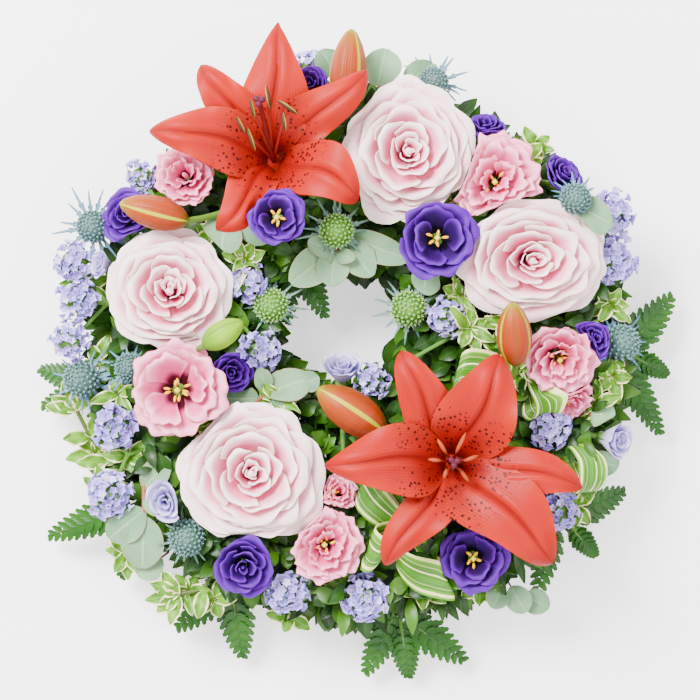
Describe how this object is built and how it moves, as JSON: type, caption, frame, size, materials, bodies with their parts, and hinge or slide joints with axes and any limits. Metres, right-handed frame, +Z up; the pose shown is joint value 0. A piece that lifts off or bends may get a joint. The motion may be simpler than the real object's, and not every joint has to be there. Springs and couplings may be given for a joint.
{
  "type": "funeral wreath",
  "caption": "Round funeral wreath: a foam ring in a plastic tray, covered with lilies, roses, lisianthus, thistles, statice and foliage round an open centre.",
  "frame": {"origin": "centre of the bounding box in plan, on the table under the tray; the ring's own centre lies about 1 mm from it", "axes": "+Z up, out of the flowers; +Y towards the top of the picture and +X towards its right"},
  "size_m": [0.3893, 0.3951, 0.1174],
  "materials": {
    "tray_plastic": "satin dark green plastic",
    "floral_foam": "matt, fine open cells, wet dark green",
    "lily_petal": "satin, coral red",
    "lily_stamens": "powdery olive to tan",
    "lily_bud": "satin, orange to yellow green",
    "green_bud": "satin, lime green",
    "rose_petal": "soft, cream pink",
    "pink_petal": "soft, mid pink with darker frill",
    "violet_petal": "velvety violet",
    "pale_petal": "soft, pale lavender",
    "thistle": "matt, blue grey",
    "statice": "papery, pale lavender",
    "striped_leaf": "glossy, cream stripes",
    "eucalyptus_leaf": "matt, pale grey green",
    "wavy_leaf": "satin, pale margins",
    "fern_leaf": "glossy, deep green"
  },
  "bodies": {
    "root": {"base_tray": "tray_plastic", "eucalyptus_left": "eucalyptus_leaf", "eucalyptus_lower_left": "eucalyptus_leaf", "eucalyptus_top": "eucalyptus_leaf", "fern_bottom": "fern_leaf", "fern_bottom_left": "fern_leaf", "fern_inner": "fern_leaf", "fern_left": "fern_leaf", "fern_lower_left": "fern_leaf", "fern_lower_right": "fern_leaf", "fern_right": "fern_leaf", "foam_ring": "floral_foam", "green_bud": "green_bud", "lily_right": "lily_petal", "lily_right_buds": "lily_bud", "lily_right_stamens": "lily_stamens", "lily_top": "lily_petal", "lily_top_buds": "lily_bud", "lily_top_stamens": "lily_stamens", "loop_right": "striped_leaf", "loops_south": "striped_leaf", "pale_a": "pale_petal", "pale_b": "pale_petal", "pale_c": "pale_petal", "pink_a": "pink_petal", "pink_b": "pink_petal", "pink_c": "pink_petal", "pink_d": "pink_petal", "pink_e": "pink_petal", "rose_bottom": "rose_petal", "rose_left": "rose_petal", "rose_right": "rose_petal", "rose_top": "rose_petal", "statice_inner_left": "statice", "statice_inner_right": "statice", "statice_left": "statice", "statice_lower_left": "statice", "statice_lower_right": "statice", "statice_right": "statice", "statice_south": "statice", "thistle_a": "thistle", "thistle_b": "thistle", "thistle_c": "thistle", "thistle_d": "thistle", "thistle_e": "thistle", "thistle_f": "thistle", "thistle_g": "thistle", "thistle_h": "thistle", "thistle_i": "thistle", "violet_a": "violet_petal", "violet_b": "violet_petal", "violet_c": "violet_petal", "violet_d": "violet_petal", "violet_f": "violet_petal", "violet_g": "violet_petal", "violet_h": "violet_petal", "violet_i": "violet_petal", "violet_j": "violet_petal", "wavy_leaves_left": "wavy_leaf", "wavy_leaves_south": "wavy_leaf"}
  },
  "joints": []
}
